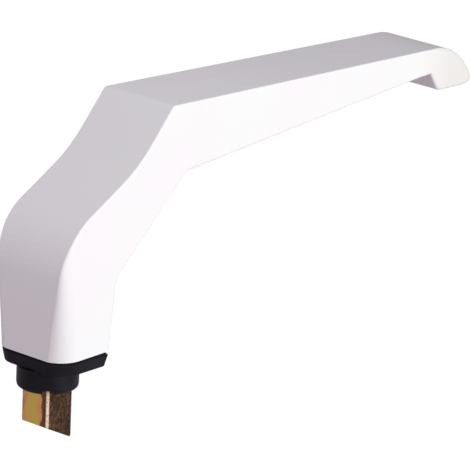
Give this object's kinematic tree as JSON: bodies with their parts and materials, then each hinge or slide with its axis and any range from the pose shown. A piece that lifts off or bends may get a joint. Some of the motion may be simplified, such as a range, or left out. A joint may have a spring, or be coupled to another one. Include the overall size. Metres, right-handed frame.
{
  "type": "cranked window lever handle",
  "caption": "Cranked lever handle for a window sash: white coated lever with a finger hook, black foot plate and guide bush, and a square spindle.",
  "frame": {"origin": "on the spindle's axis, on the underside of the base plate, which rests on the sash", "axes": "+Z along the spindle away from the sash, +X from the spindle along the grip towards the finger hook"},
  "size_m": [0.1156, 0.0176, 0.0613],
  "materials": {
    "white_coat": "satin white powder coat",
    "black_nylon": "black moulded nylon, matt",
    "bush_nylon": "black moulded nylon, slightly polished",
    "yellow_zinc": "drawn steel, zinc plated and yellow passivated",
    "bright_steel": "zinc plated steel",
    "dark_steel": "black oxide steel",
    "spring_steel": "oiled spring steel"
  },
  "bodies": {
    "bush": {"guide_bush": "bush_nylon", "snap_ring": "spring_steel", "wave_ring": "spring_steel"},
    "lever": {"handle_casting": "white_coat", "base_plate": "black_nylon", "plate_screws": "bright_steel", "grub_screw": "dark_steel", "spindle": "yellow_zinc"}
  },
  "joints": [
    {"name": "lever_turn", "type": "hinge", "parent": "bush", "child": "lever", "pos_m": [0, 0, 0], "axis": [0, 0, 1], "range_deg": [0, 180]}
  ]
}
